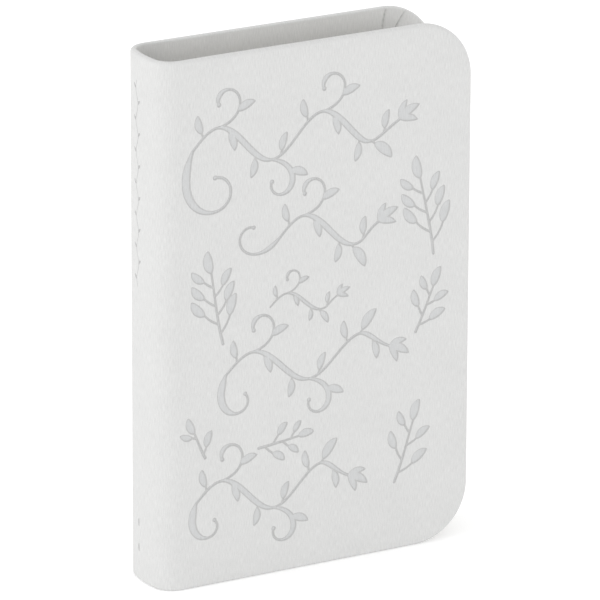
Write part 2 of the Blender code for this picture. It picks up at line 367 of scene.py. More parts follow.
def cover_ornament():
    """The front's design: leafy vines among sprigs, in mm from the spine and the tail."""
    strokes = []
    strokes += vine_row(left=11, right=81, middle=137, waves=4, sway=6.2, leaf_length=7.6)
    strokes += vine_foot((11, 137), 248, 42, 1.2, 13.5, thick=2.6, thin=0.7)
    strokes += vine_row(left=40, right=74, middle=106, waves=2, sway=5.8, leaf_length=7.4)
    strokes += vine_foot((40, 106), 222, 24, -2.0, -19.0, thick=2.2)
    strokes += vine_row(left=37, right=60, middle=85, waves=2, sway=3.4, leaf_length=4.6)
    strokes += vine_row(left=22, right=78, middle=66, waves=3, sway=5.8, leaf_length=7.4)
    strokes += vine_foot((22, 66), 246, 24, 1.5, 20.0)
    strokes += vine_row(left=12, right=64, middle=27, waves=3, sway=5.8, leaf_length=7.4)
    strokes += vine_foot((12, 27), 248, 22, 1.5, 22.0)
    strokes += sprig((21, 76), 105, 23, -0.9, 3, 7.0, 3.1)
    strokes += sprig((93, 93), 96, 25, 0.8, 3, 7.2, 3.2)
    strokes += sprig((87, 69), 62, 15, 1.0, 2, 6.2, 2.9)
    strokes += sprig((15, 41), 118, 9, -2.0, 1, 5.4, 2.5)
    strokes += sprig((33, 41), 4, 14, 0.7, 2, 5.0, 2.5)
    strokes += sprig((80, 22), 66, 20, 1.0, 2, 6.6, 3.0)
    return [(np.stack([along_front(line[:, 0]), line[:, 1]], 1), half) for line, half in strokes]


def spine_ornament():
    """A faint vine up the spine and two small upright leaves near its foot."""
    bottom, top, turns, middle, sway = 93, 157, 13, 2.0, 0.7
    heights = np.linspace(bottom, top, 120)
    wave = middle + sway * np.sin((heights - bottom) / (top - bottom) * turns * math.pi)
    vine = np.stack([along_spine(wave), heights], 1)
    strokes = [(vine, np.full(len(vine), 0.02))]
    for index in range(turns):
        height = bottom + (top - bottom) * (index + 0.5) / turns
        side = 1 if index % 2 == 0 else -1
        base = (along_spine(middle + sway * side), height)
        strokes.append(leaf(base, math.radians(90 + 48 * side), 1.7, 0.66))
    for height in (9.5, 17.5):
        strokes.append(leaf((along_spine(middle), height), math.pi / 2, 2.4, 0.7))
    return strokes


# ---------------------------------------------------------------- outlines of the ornament

def stroke_field(strokes, width, height):
    """Signed distance to the strokes on an even grid, negative inside them."""
    columns, rows = int(width / FIELD_STEP) + 2, int(height / FIELD_STEP) + 2
    field = np.full((rows, columns), FIELD_FAR)
    for line, half in strokes:
        for (ax, ay), (bx, by), ra, rb in zip(line[:-1], line[1:], half[:-1], half[1:]):
            reach = max(ra, rb) + FIELD_MARGIN
            c0 = max(int((min(ax, bx) - reach) / FIELD_STEP), 0)
            c1 = min(int((max(ax, bx) + reach) / FIELD_STEP) + 2, columns)
            r0 = max(int((min(ay, by) - reach) / FIELD_STEP), 0)
            r1 = min(int((max(ay, by) + reach) / FIELD_STEP) + 2, rows)
            if c0 >= c1 or r0 >= r1:
                continue
            x = (np.arange(c0, c1) * FIELD_STEP - ax)[None, :]
            y = (np.arange(r0, r1) * FIELD_STEP - ay)[:, None]
            dx, dy = bx - ax, by - ay
            t = np.clip((x * dx + y * dy) / max(dx * dx + dy * dy, 1e-12), 0, 1)
            distance = np.hypot(x - t * dx, y - t * dy) - (ra + (rb - ra) * t)
            window = field[r0:r1, c0:c1]
            np.minimum(window, distance, out=window)
    return field


def sample(field, points):
    """The field's value at points, by bilinear interpolation."""
    spot = np.clip(points / FIELD_STEP, 0, np.array(field.shape[::-1]) - 1.001)
    c, r = spot[:, 0].astype(int), spot[:, 1].astype(int)
    fx, fy = spot[:, 0] - c, spot[:, 1] - r
    low_row = field[r, c] * (1 - fx) + field[r, c + 1] * fx
    high_row = field[r + 1, c] * (1 - fx) + field[r + 1, c + 1] * fx
    return low_row * (1 - fy) + high_row * fy


def contours(field, level):
    """Closed lines of the points where the field has that value (marching squares)."""
    value = field - level
    value[value == 0] = 1e-9
    inside = value < 0
    cells = (inside[:-1, :-1] + 2 * inside[:-1, 1:] + 4 * inside[1:, 1:] + 8 * inside[1:, :-1]).astype(int)
    rows, columns = np.nonzero((cells > 0) & (cells < 15))
    width = field.shape[1]
    links = {}
    ends = {1: [(3, 0)], 2: [(0, 1)], 3: [(3, 1)], 4: [(1, 2)], 5: [(3, 2), (1, 0)], 6: [(0, 2)],
            7: [(3, 2)], 8: [(2, 3)], 9: [(2, 0)], 10: [(0, 3), (2, 1)], 11: [(2, 1)], 12: [(1, 3)],
            13: [(1, 0)], 14: [(0, 3)]}
    for r, c, kind in zip(rows.tolist(), columns.tolist(), cells[rows, columns].tolist()):
        keys = (2 * (r * width + c), 2 * (r * width + c + 1) + 1,
                2 * ((r + 1) * width + c), 2 * (r * width + c) + 1)
        for first, second in ends[kind]:
            links[keys[first]] = keys[second]
    loops = []
    while links:
        start, following = links.popitem()
        chain = [start]
        while following in links:
            chain.append(following)
            following = links.pop(following)
        if len(chain) > 5:
            loops.append(simplify(crossings(value, np.array(chain), width), SIMPLIFY))
    return [loop for loop in loops if len(loop) > 2]


def crossings(value, keys, width):
    """Where the field's sign changes on each of the grid's edges."""
    upright = keys % 2
    cell = keys // 2
    r, c = cell // width, cell % width
    r2, c2 = r + upright, c + 1 - upright
    a, b = value[r, c], value[r2, c2]
    t = a / (a - b)
    return np.stack([c + (c2 - c) * t, r + (r2 - r) * t], 1) * FIELD_STEP


def simplify(loop, tolerance):
    """Keeps only the points of a closed line that its shape needs (Douglas-Peucker)."""
    far = int(np.argmax(np.hypot(*(loop - loop[0]).T)))
    closed = np.concatenate([loop, loop[:1]])
    keep = {0, far, len(loop)}
    spans = [(0, far), (far, len(loop))]
    while spans:
        first, last = spans.pop()
        if last - first < 2:
            continue
        a, b = closed[first], closed[last]
        d = b - a
        between = closed[first + 1:last] - a
        length = max(np.hypot(*d), 1e-9)
        off = np.abs(between[:, 0] * d[1] - between[:, 1] * d[0]) / length
        worst = int(np.argmax(off)) + first + 1
        if off.max() > tolerance or last - first > 24:
            if off.max() <= tolerance:
                worst = (first + last) // 2
            keep.add(worst)
            spans += [(first, worst), (worst, last)]
    order = sorted(keep)[:-1]
    return closed[order]


# ---------------------------------------------------------------- cover skins

def edge_distance(points, end):
    """How far points of a flattened cover lie inside its edge; the seam isn't an edge."""
    across = points[:, 0] - (end - CORNER_RADIUS)
    from_middle = np.abs(points[:, 1] - HEIGHT / 2)
    up = from_middle - (HEIGHT / 2 - CORNER_RADIUS)
    straight = np.minimum(end - points[:, 0], HEIGHT / 2 - from_middle)
    in_corner = (across > 0) & (up > 0)
    return np.where(in_corner, CORNER_RADIUS - np.hypot(across, up), straight)


def edge_line(end, inset, columns):
    """The flattened cover's edge from the seam along tail, fore-edge and head, drawn in."""
    radius = CORNER_RADIUS - inset
    centre = end - CORNER_RADIUS
    turn = np.radians(np.linspace(-90, 0, CORNER_STEPS + 1))
    tail_line = np.stack([columns, np.full(len(columns), inset)], 1)
    corner = np.stack([centre + radius * np.cos(turn), CORNER_RADIUS + radius * np.sin(turn)], 1)
    count = int((HEIGHT - 2 * CORNER_RADIUS) / PANEL_STEP)
    ups = np.linspace(CORNER_RADIUS, HEIGHT - CORNER_RADIUS, count + 1)[1:-1]
    fore = np.stack([np.full(len(ups), end - inset), ups], 1)
    lower = np.concatenate([tail_line, corner])
    upper = lower[::-1] * (1, -1) + (0, HEIGHT)
    return np.concatenate([lower, fore, upper])


def triangulate(lines, loose):
    """Triangles over the first line's inside that keep all lines, given as (points, closed)."""
    points, edges = [], []
    for line, closed in lines:
        first, last = len(points), len(points) + len(line) - 1
        points.extend(Vector(p) for p in line)
        edges += [(i, i + 1) for i in range(first, last)]
        if closed:
            edges.append((last, first))
    points.extend(Vector(p) for p in loose)
    made = delaunay_2d_cdt(points, edges, [], 1, 1e-5)
    return np.array([tuple(v) for v in made[0]]), np.array(made[2], int)


def flat_sheet(end, bend_end, field):
    """A flattened cover's triangles, with rings at its rim and columns where it bends.

    The turned-in face has no field, and takes more rings for its pleats instead.
    """
    fine = np.linspace(0, bend_end, int(bend_end / BEND_STEP) + 1)
    flat = end - CORNER_RADIUS
    gathers = np.linspace(flat - PLEAT_REACH, flat, GATHER_COLUMNS)
    coarse = np.linspace(bend_end, gathers[0], int((gathers[0] - bend_end) / PANEL_STEP) + 1)
    turned = np.concatenate([coarse[1:-1], gathers[:-1]])
    columns = np.concatenate([fine, turned])
    lines = [(edge_line(end, inset, columns), inset == 0) for inset in RIM_RINGS]
    last = RIM_RINGS[-1]
    if field is None:
        lines += [(edge_line(end, inset, turned), False) for inset in TURN_IN_RINGS]
        last = TURN_IN_RINGS[-1]
    rows = np.linspace(RIM_RINGS[-1], HEIGHT - RIM_RINGS[-1], int(HEIGHT / PANEL_STEP) + 1)
    for u in fine[1:]:
        lines.append((np.stack([np.full(len(rows), u), rows], 1), False))
    xs = np.arange(bend_end + PANEL_STEP, end, PANEL_STEP)
    grid = np.array([(x, y) for x in xs for y in rows[1:-1]])
    room = edge_distance(grid, end) > last + 0.8
    if field is not None:
        room &= sample(field, grid) > PRESS_LEVELS[0] + 0.5
        for level in PRESS_LEVELS:
            lines += [(loop, True) for loop in contours(field, level)]
    seam = np.stack([np.zeros(len(rows) - 2), rows[1:-1]], 1)
    return triangulate(lines, np.concatenate([grid[room], seam]))


def rim_drop(distance, radius):
    """How far a rounded edge falls away that close to it."""
    near = np.clip(radius - distance, 0, radius)
    return radius - np.sqrt(np.maximum(radius**2 - near**2, 0))


def press(field_value):
    """Depth of the pressed ornament from the signed distance to its strokes."""
    return PRESS_DEPTH * step(-field_value, -WALL_TOP, -WALL_FOOT)


def pillow(point, edge):
    """How far the padded panel swells above its edges."""
    on_panel = step(point[:, 0], COVER_X - 1, COVER_X + 2 * PILLOW_EDGE)
    return PILLOW * on_panel * (1 - np.exp(-edge / PILLOW_EDGE))


def pleats(uv, end):
    """The gathers where leatherette is turned in round a corner: shallow creases that lean."""
    depth = np.zeros(len(uv))
    across = uv[:, 0] - (end - CORNER_RADIUS)
    up = np.abs(uv[:, 1] - HEIGHT / 2) - (HEIGHT / 2 - CORNER_RADIUS)
    angle = np.degrees(np.arctan2(up, across))
    radius = np.hypot(across, up)
    fade = 1 - 0.6 * step(radius, CORNER_RADIUS - 2, CORNER_RADIUS)
    reach = step(radius, 7, CORNER_RADIUS - 5) * fade
    for place_at, amount in PLEATS:
        bent = place_at + PLEAT_LEAN * (1 - radius / CORNER_RADIUS)
        depth += amount * np.exp(-(((angle - bent) / PLEAT_WIDTH) ** 2)) * reach
    return np.where((across > -PLEAT_REACH) & (up > -PLEAT_REACH), depth, 0)


def painted_turn_in_shade(uv, point, end):
    """Painted shade on the turned-in face: 0 at the rim, more further in and in the joint's fold."""
    in_fold = 1 - step(point[:, 0], SPINE_X + 2, SPINE_X + TURN_IN_SHADE_FOLD)
    return 0.7 * step(edge_distance(uv, end), 0.6, TURN_IN_SHADE_DEPTH) + 0.3 * in_fold


def skin(name, end, direction, bend_end, field):
    """A cover skin as one closed solid: pressed outer face, rounded rim and turned-in face."""
    outer_uv, outer_faces = flat_sheet(end, bend_end, field)
    inner_uv, inner_faces = flat_sheet(end, bend_end, None)
    sheets = []
    for uv in (outer_uv, inner_uv):
        point, normal = plan_at(direction * uv[:, 0])
        thick = thickness_at(point)
        edge = edge_distance(uv, end)
        if uv is outer_uv:
            rise = pillow(point, edge) - press(sample(field, uv))
            rise -= rim_drop(edge, np.minimum(OUTER_RIM, 0.6 * thick))
        else:
            rise = rim_drop(edge, np.minimum(INNER_RIM, 0.35 * thick)) - thick
            rise += PLEAT_DEPTH * pleats(uv, end) * step(edge, 0.1, 1.2)
        placed = point + normal * rise[:, None]
        sheets.append(np.column_stack([placed, uv[:, 1]]) * MM)
    shift = len(outer_uv)
    faces = outer_faces.tolist() + (inner_faces + shift).tolist()
    faces += join_edges(boundary(outer_uv, outer_faces), boundary(inner_uv, inner_faces) + shift)
    mesh = bpy.data.meshes.new(name)
    mesh.from_pydata(np.concatenate(sheets).tolist(), [], faces)
    # Masks for painted shade: the pleats' creases, and the turned-in face deeper in and near the joint's
    # fold.
    crease_shade = np.concatenate([np.zeros(shift), pleats(inner_uv, end)])
    inner_point = plan_at(direction * inner_uv[:, 0])[0]
    turned_in_shade = np.concatenate([np.zeros(shift), painted_turn_in_shade(inner_uv, inner_point, end)])
    mark_cover(mesh, np.concatenate([outer_uv, inner_uv]), end, crease_shade, turned_in_shade)
    mark_pressed(mesh, outer_faces, sample(field, outer_uv))
    face_outwards(mesh)
    return place(name, mesh)


def boundary(uv, faces):
    """The sheet's outline in order, anticlockwise from the foot of the seam."""
    following = {}
    edges = {(a, b) for face in faces.tolist() for a, b in zip(face, face[1:] + face[:1])}
    for a, b in edges:
        if (b, a) not in edges:
            following[a] = b
    first = min(following, key=lambda i: uv[i, 0] + uv[i, 1])
    order = [first]
    while following[order[-1]] != first:
        order.append(following[order[-1]])
    return np.array(order)


def join_edges(outer, inner):
    """Quads between the matching outlines of two sheets."""
    if len(outer) != len(inner):
        raise ValueError(f"outlines of {len(outer)} and {len(inner)} points don't match")
    return np.stack([outer, np.roll(outer, -1), np.roll(inner, -1), inner], 1).tolist()


def mark_cover(mesh, uv, end, crease_shade, turned_in_shade):
    """Centimetre coordinates for the grain, and masks of painted shade: the rim, the creases and the
    turned-in face deeper in.
    """
    layer = mesh.uv_layers.new(name="cover")
    loops = np.zeros(len(mesh.loops), np.int32)
    mesh.loops.foreach_get("vertex_index", loops)
    layer.data.foreach_set("uv", (uv[loops] / 10).astype(np.float32).ravel())
    # Painted shade mask along the rounded rim, fading inwards.
    rim_shade = np.exp(-edge_distance(uv, end) / 0.7)
    for key, value in (("rim_shade", rim_shade), ("crease_shade", crease_shade), ("painted_turn_in_shade", turned_in_shade)):
        mark = mesh.attributes.new(key, "FLOAT", "POINT")
        mark.data.foreach_set("value", value.astype(np.float32))


def mark_pressed(mesh, outer_faces, value):
    """Material 1, with painted shade, on the walls of the pressed strokes and 2 on their floors."""
    kind = np.zeros(len(mesh.polygons), np.int32)
    highest = value[outer_faces].max(1)
    lowest = value[outer_faces].min(1)
    kind[:len(outer_faces)] = np.where(lowest < WALL_TOP - 0.02, 1, 0)
    kind[:len(outer_faces)][highest < WALL_FOOT + 0.02] = 2
    mesh.polygons.foreach_set("material_index", kind)


def face_outwards(mesh):
    """Faces pointing out, smooth but for sharp folds."""
    shape = bmesh.new()
    shape.from_mesh(mesh)
    bmesh.ops.recalc_face_normals(shape, faces=shape.faces)
    shape.to_mesh(mesh)
    shape.free()
    mesh.shade_smooth()
    mesh.set_sharp_from_angle(angle=math.radians(50))


def place(name, mesh):
    """An object for a mesh, in the scene."""
    made = bpy.data.objects.new(name, mesh)
    bpy.context.scene.collection.objects.link(made)
    return made


def bend_at_joint(piece):
    """Bakes a cover piece's placement into its mesh."""
    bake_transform(piece)


def make_skins(finishes):
    """The leatherette from the back fore-edge to the front one, in two pieces that meet unseen."""
    front_bend = float(along_front(COVER_X - SPINE_X + JOINT_END))
    back_bend = front_bend - float(along_spine(-SEAM_Y))
    pressed = stroke_field(cover_ornament() + spine_ornament(), FRONT_END, HEIGHT)
    blank = stroke_field([], BACK_END, HEIGHT)
    front = skin("front_cover_skin", FRONT_END, 1, front_bend, pressed)
    back = skin("back_cover_skin", BACK_END, -1, back_bend, blank)
    for piece, side in ((front, -1), (back, 1)):
        for key in ("leatherette", "shaded_pressed_wall", "pressed_floor"):
            piece.data.materials.append(finishes[key])
        bend_at_joint(piece)
    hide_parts("front_wrap", "front_joint", "spine_wrap")
    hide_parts("back_wrap", "back_joint")


# ---------------------------------------------------------------- paper

def leaf_grid(right, bottom, top, radius, columns):
    """Points of a leaf in X and Z as columns from tail to head; the last ones round its corners."""
    turn = np.radians(np.linspace(0, 90, 9))[1:]
    xs = np.concatenate([columns, right - radius + radius * np.sin(turn)])
    drop = np.concatenate([np.zeros(len(columns)), radius * (1 - np.cos(turn))])
    shares = np.linspace(0, 1, LEAF_ROWS)
    grid = []
    for x, inset in zip(xs, drop):
        low_z, high_z = bottom + inset, top - inset
        grid.append([(x, low_z + (high_z - low_z) * share) for share in shares])
    return np.array(grid)


def paper_mesh(name, leaves):
    """One mesh of closed leaves; each is a grid with the Y of its two faces at every column."""
    shape = bmesh.new()
    for grid, near, far in leaves:
        columns, rows = grid.shape[:2]
        faces = []
        for ys in (near, far):
            faces.append([[shape.verts.new(Vector((grid[i, j, 0], ys[i], grid[i, j, 1])) * MM)
                           for j in range(rows)] for i in range(columns)])
        for i in range(columns - 1):
            for j in range(rows - 1):
                for side in faces:
                    shape.faces.new((side[i][j], side[i + 1][j], side[i + 1][j + 1], side[i][j + 1]))
        ring = [(i, 0) for i in range(columns)]
        ring += [(columns - 1, j) for j in range(1, rows)]
        ring += [(i, rows - 1) for i in range(columns - 2, -1, -1)]
        ring += [(0, j) for j in range(rows - 2, 0, -1)]
        for (i, j), (k, l) in zip(ring, ring[1:] + ring[:1]):
            shape.faces.new((faces[0][i][j], faces[0][k][l], faces[1][k][l], faces[1][i][j]))
    bmesh.ops.recalc_face_normals(shape, faces=shape.faces)
    mesh = bpy.data.meshes.new(name)
    shape.to_mesh(mesh)
    shape.free()
    mesh.shade_smooth()
    mesh.set_sharp_from_angle(angle=math.radians(40))
    return mesh


def make_endpapers(finishes):
    """Each board's pastedown and the flyleaf it faces."""
    for name, side in (("front", -1), ("back", 1)):
        sheet = flat_paper(name + "_pastedown_sheet", pastedown_grid(), side * PAPER_NEAR, side * PAPER_FAR)
        finish_paper(sheet, finishes["endpaper"])
        bend_at_joint(sheet)
        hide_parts(name + "_pastedown")

        near, far = side * FLYLEAF_NEAR, side * FLYLEAF_FAR
        leaf_sheet = flat_paper(name + "_flyleaf_sheet", block_grid(), near, far)
        finish_paper(leaf_sheet, finishes["endpaper"])
        turn_at_fold(leaf_sheet)
        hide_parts(name + "_flyleaf")


def flat_paper(name, grid, near, far):
    """A single flat leaf between two Y positions."""
    flat = np.ones(len(grid))
    return place(name, paper_mesh(name, [(grid, near * flat, far * flat)]))


def pastedown_grid():
    """A pastedown's grid, with close columns by the joint."""
    columns = np.concatenate([
        np.linspace(FOLD_X - 0.2, FOLD_X + 9, 16),
        np.linspace(FOLD_X + 12, FORE_X - CORNER_RADIUS, 12),
    ])
    radius = CORNER_RADIUS - PAPER_INSET
    return leaf_grid(FORE_X - PAPER_INSET, PAPER_INSET, HEIGHT - PAPER_INSET, radius, columns)


def block_grid():
    """A page's grid, with close columns near its fold."""
    columns = np.concatenate([
        FOLD_X + np.linspace(0, 12, FOLD_COLUMNS),
        np.linspace(FOLD_X + 18, BLOCK_END - PAGE_RADIUS, 6),
    ])
    return leaf_grid(BLOCK_END, BLOCK_LOW, BLOCK_HIGH, PAGE_RADIUS, columns)


def turn_at_fold(piece):
    """Bakes a leaf's placement into its mesh."""
    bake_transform(piece)


def finish_paper(piece, material):
    """A paper piece's material and slot."""
    piece.data.materials.append(material)


def make_pages(finishes):
    """Every section as three bundles of thin leaves that draw together at the fold."""
    for name in sorted(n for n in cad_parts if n.startswith("section_")):
        corner_low, corner_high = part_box(name)
        near, far = corner_low.y / MM, corner_high.y / MM
        pitch = (far - near) / (BUNDLES * LEAVES_IN_BUNDLE)
        middle = (near + far) / 2
        grid = block_grid()
        spread = FOLD_SPREAD + (1 - FOLD_SPREAD) * step(grid[:, 0, 0], FOLD_X, FOLD_X + FOLD_TAPER)
        for bundle in range(BUNDLES):
            leaves = []
            for index in range(LEAVES_IN_BUNDLE):
                offset = near + (bundle * LEAVES_IN_BUNDLE + index + 0.5) * pitch - middle
                centre = middle + offset * spread
                half = 0.5 * LEAF_SHARE * pitch * spread
                leaves.append((grid, centre - half, centre + half))
            piece_name = f"{name}_leaves_{bundle + 1}"
            piece = place(piece_name, paper_mesh(piece_name, leaves))
            finish_paper(piece, finishes["page"])
            turn_at_fold(piece)
            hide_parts(name)


# ---------------------------------------------------------------- headbands

def make_headbands(finishes):
    """A ribbed silk bead over each end of the sections' folds."""
    for name, up in (("headband", 1), ("tailband", -1)):
        corner_low, corner_high = (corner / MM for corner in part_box(name))
        centre_x = corner_high.x - BEAD_RADIUS
        centre_z = corner_high.z - BEAD_RADIUS if up > 0 else corner_low.z + BEAD_RADIUS
        bead = place(name + "_bead", bead_mesh(name + "_bead", centre_x, centre_z, corner_high.y))
        bead.data.materials.append(finishes["headband"])
        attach(bead, "spine")
        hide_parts(name)


def bead_mesh(name, centre_x, centre_z, half):
    """A closed bead along Y that swells and narrows with each turn of its silk."""
    ys = np.linspace(-half, half, int(2 * half / BEAD_STEP))
    ribs = BEAD_RADIUS * (1 - RIB_DEPTH + RIB_DEPTH * np.abs(np.sin(math.pi * ys / RIB_PITCH)))
    angles = np.linspace(0, 2 * math.pi, BEAD_SIDES + 1)[:-1]
    shape = bmesh.new()
    rings = []
    for y, size in zip(ys, ribs):
        circle = [(centre_x + size * math.cos(a), y, centre_z + size * math.sin(a)) for a in angles]
        rings.append([shape.verts.new(Vector(point) * MM) for point in circle])
    for first, second in zip(rings[:-1], rings[1:]):
        for i in range(BEAD_SIDES):
            k = (i + 1) % BEAD_SIDES
            shape.faces.new((first[i], first[k], second[k], second[i]))
    shape.faces.new(rings[0])
    shape.faces.new(rings[-1])
    bmesh.ops.recalc_face_normals(shape, faces=shape.faces)
    mesh = bpy.data.meshes.new(name)
    shape.to_mesh(mesh)
    shape.free()
    mesh.shade_smooth()
    return mesh


# ---------------------------------------------------------------- materials

class Nodes:
    """A material's node tree, with short ways to add and link nodes."""

    def __init__(self, name, colour, roughness, specular=0.4):
        self.material = bpy.data.materials.new(name)
        self.material.use_nodes = True
        self.tree = self.material.node_tree
        self.shader = self.tree.nodes["Principled BSDF"]
        self.shader.inputs["Base Color"].default_value = (*colour, 1)
        self.shader.inputs["Roughness"].default_value = roughness
        self.shader.inputs["Specular IOR Level"].default_value = specular

    def add(self, kind, settings=None, **inputs):
        """A node of that kind; inputs are values or other nodes' sockets."""
        node = self.tree.nodes.new("ShaderNode" + kind)
        for key, value in (settings or {}).items():
            setattr(node, key, value)
        for key, value in inputs.items():
            self.put(node.inputs[key.replace("_", " ")], value)
        return node

    def put(self, socket, value):
        """Sets a socket, or links it to another node's output."""
        if isinstance(value, bpy.types.NodeSocket):
            self.tree.links.new(value, socket)
        else:
            socket.default_value = value

    def position(self):
        """The surface point in centimetres."""
        scaled = self.add("VectorMath", {"operation": "SCALE"}, Scale=100.0)
        self.put(scaled.inputs[0], self.add("TexCoord").outputs["Object"])
        return scaled.outputs[0]

    def cover(self):
        """The flattened cover's coordinates in centimetres."""
        return self.add("UVMap", {"uv_map": "cover"}).outputs["UV"]

    def stretch(self, vector, scale):
        """Coordinates multiplied axis by axis."""
        node = self.add("VectorMath", {"operation": "MULTIPLY"})
        self.put(node.inputs[0], vector)
        node.inputs[1].default_value = scale
        return node.outputs[0]

    def noise(self, vector, scale, detail=3.0, roughness=0.5):
        """Fractal noise from 0 to 1."""
        node = self.add("TexNoise", Scale=scale, Detail=detail, Roughness=roughness)
        self.put(node.inputs["Vector"], vector)
        return node.outputs["Fac"]

    def pores(self, vector, scale):
        """Distance to the nearest of scattered points."""
        node = self.add("TexVoronoi", {"feature": "F1"}, Scale=scale)
        self.put(node.inputs["Vector"], vector)
        return node.outputs["Distance"]

    def bands(self, vector, scale, direction):
        """Even bands along an axis."""
        settings = {"wave_type": "BANDS", "bands_direction": direction}
        node = self.add("TexWave", settings, Scale=scale)
        self.put(node.inputs["Vector"], vector)
        return node.outputs["Fac"]

    def ramp(self, value, low, high, out_low=0.0, out_high=1.0):
        """A value's range moved onto another, held at its ends."""
        node = self.add("MapRange")
        self.put(node.inputs["Value"], value)
        for key, number in (("From Min", low), ("From Max", high),
                            ("To Min", out_low), ("To Max", out_high)):
            node.inputs[key].default_value = number
        return node.outputs["Result"]

    def sum(self, first, second, operation="ADD"):
        """Two values put together."""
        node = self.add("Math", {"operation": operation})
        self.put(node.inputs[0], first)
        self.put(node.inputs[1], second)
        return node.outputs[0]

    def tint(self, value, dark, light):
        """A colour between two, by a value."""
        node = self.add("Mix", {"data_type": "RGBA"})
        self.put(node.inputs["Factor"], value)
        node.inputs["A"].default_value = (*dark, 1)
        node.inputs["B"].default_value = (*light, 1)
        return node.outputs["Result"]

    def darken(self, colour, factor):
        """A colour multiplied by a value."""
        node = self.add("VectorMath", {"operation": "SCALE"})
        self.put(node.inputs[0], colour)
        self.put(node.inputs["Scale"], factor)
        return node.outputs[0]

    def colour(self, value):
        """The surface's colour."""
        self.put(self.shader.inputs["Base Color"], value)

    def roughness(self, value):
        """The surface's roughness."""
        self.put(self.shader.inputs["Roughness"], value)

    def bump(self, height, depth, strength=1.0):
        """Relief that deep in millimetres."""
        node = self.add("Bump", Strength=strength, Distance=depth * MM)
        self.put(node.inputs["Height"], height)
        self.put(self.shader.inputs["Normal"], node.outputs["Normal"])


def scaled_colour(colour, factor):
    """A colour made lighter or darker."""
    return tuple(channel * factor for channel in colour)


def leatherette(name, base, roughness, relief):
    """White leatherette with a fine upright linen grain, and painted shade along its rims, in its creases
    and deeper in on its turned-in face.
    """
    made = Nodes(name, base, roughness)
    cover = made.cover()
    grain = made.noise(made.stretch(cover, (36, 4.2, 1)), 1.0, 4.0, 0.55)
    threads = made.noise(made.stretch(cover, (16, 60, 1)), 1.0, 2.0)
    pores = made.pores(made.stretch(cover, (1.6, 1.0, 1)), 20.0)
    mottle = made.noise(cover, 0.8, 2.0)
    height = made.sum(made.ramp(grain, 0.3, 0.7), made.ramp(threads, 0.3, 0.7, 0, 0.35))
    height = made.sum(height, made.ramp(pores, 0.1, 0.5, 0, 0.3))
    shade = made.sum(made.ramp(grain, 0.3, 0.7, 0, 0.62), made.ramp(threads, 0.3, 0.7, 0, 0.28))
    shade = made.sum(shade, made.ramp(mottle, 0.3, 0.7, 0, 0.10))
    rim_shade = made.add("Attribute", {"attribute_name": "rim_shade"}).outputs["Fac"]
    crease_shade = made.add("Attribute", {"attribute_name": "crease_shade"}).outputs["Fac"]
    turned_in_shade = made.add("Attribute", {"attribute_name": "painted_turn_in_shade"}).outputs["Fac"]
    colour = made.tint(shade, scaled_colour(base, 0.89), scaled_colour(base, 1.10))
    # Painted shade: slightly darker along the rounded rim.
    colour = made.darken(colour, made.ramp(rim_shade, 0.1, 1.0, 1.0, 0.98))
    # Painted shade: darker deeper in on the turned-in face and near the joint's fold.
    colour = made.darken(colour, made.ramp(turned_in_shade, 0.0, 1.0, 1.0, 0.84))
    # Painted shade: much darker in the pleats' creases.
    colour = made.darken(colour, made.ramp(crease_shade, 0.3, 1.0, 1.0, 0.55))
    made.colour(colour)
    made.roughness(made.ramp(grain, 0.2, 0.8, roughness + 0.08, roughness - 0.06))
    made.bump(height, relief, 0.8)
    return made.material


def paper(name, base):
    """Uncoated paper: pale fibres and a faint cloudy formation."""
    made = Nodes(name, base, 0.88, 0.25)
    place_at = made.position()
    fibres = made.noise(made.stretch(place_at, (6, 6, 26)), 1.0, 4.0)
    cloud = made.noise(place_at, 1.1, 2.0)
    shade = made.sum(made.ramp(fibres, 0.3, 0.7, 0, 0.6), made.ramp(cloud, 0.3, 0.7, 0, 0.4))
    made.colour(made.tint(shade, scaled_colour(base, 0.94), base))
    made.bump(fibres, 0.02, 0.5)
    return made.material


def board():
    """Grey chipboard with darker flecks."""
    made = Nodes("board_looks", (0.40, 0.38, 0.35), 0.92, 0.2)
    place_at = made.position()
    flecks = made.noise(place_at, 22.0, 4.0, 0.7)
    made.colour(made.tint(made.ramp(flecks, 0.35, 0.65), (0.27, 0.25, 0.23), (0.46, 0.44, 0.40)))
    made.bump(flecks, 0.05)
    return made.material


def foam():
    """Open-cell foam."""
    made = Nodes("foam_looks", (0.82, 0.82, 0.79), 0.96, 0.2)
    cells = made.pores(made.position(), 30.0)
    made.colour(made.tint(made.ramp(cells, 0.1, 0.6), (0.62, 0.62, 0.58), (0.86, 0.86, 0.83)))
    made.bump(cells, 0.12)
    return made.material


def woven(name, base, scale, relief):
    """An open plain weave of crossing threads."""
    made = Nodes(name, base, 0.93, 0.2)
    place_at = made.position()
    up = made.bands(place_at, scale, "Y")
    across = made.bands(place_at, scale, "Z")
    weave = made.sum(up, across, "MAXIMUM")
    made.colour(made.tint(weave, scaled_colour(base, 0.6), base))
    made.bump(weave, relief)
    return made.material


def kraft():
    """Brown kraft paper with fibres."""
    made = Nodes("kraft_looks", (0.46, 0.34, 0.21), 0.9, 0.2)
    fibres = made.noise(made.stretch(made.position(), (8, 8, 30)), 1.0, 4.0)
    made.colour(made.tint(made.ramp(fibres, 0.3, 0.7), (0.36, 0.26, 0.15), (0.52, 0.39, 0.25)))
    made.bump(fibres, 0.03)
    return made.material


def headband_silk():
    """Silver-grey and white silk in turns along the bead."""
    made = Nodes("headband_looks", (0.7, 0.71, 0.72), 0.45, 0.5)
    place_at = made.position()
    turns = made.bands(place_at, 1.95, "Y")
    threads = made.noise(made.stretch(place_at, (120, 20, 120)), 1.0, 2.0)
    silk = made.sum(made.ramp(turns, 0.4, 0.6), made.ramp(threads, 0.3, 0.7, -0.12, 0.12))
    made.colour(made.tint(silk, (0.50, 0.52, 0.54), (0.82, 0.82, 0.81)))
    made.bump(threads, 0.05)
    return made.material


LEATHERETTE_COLOUR = (0.664, 0.665, 0.659)
PRESSED_COLOUR = (0.667, 0.674, 0.676)


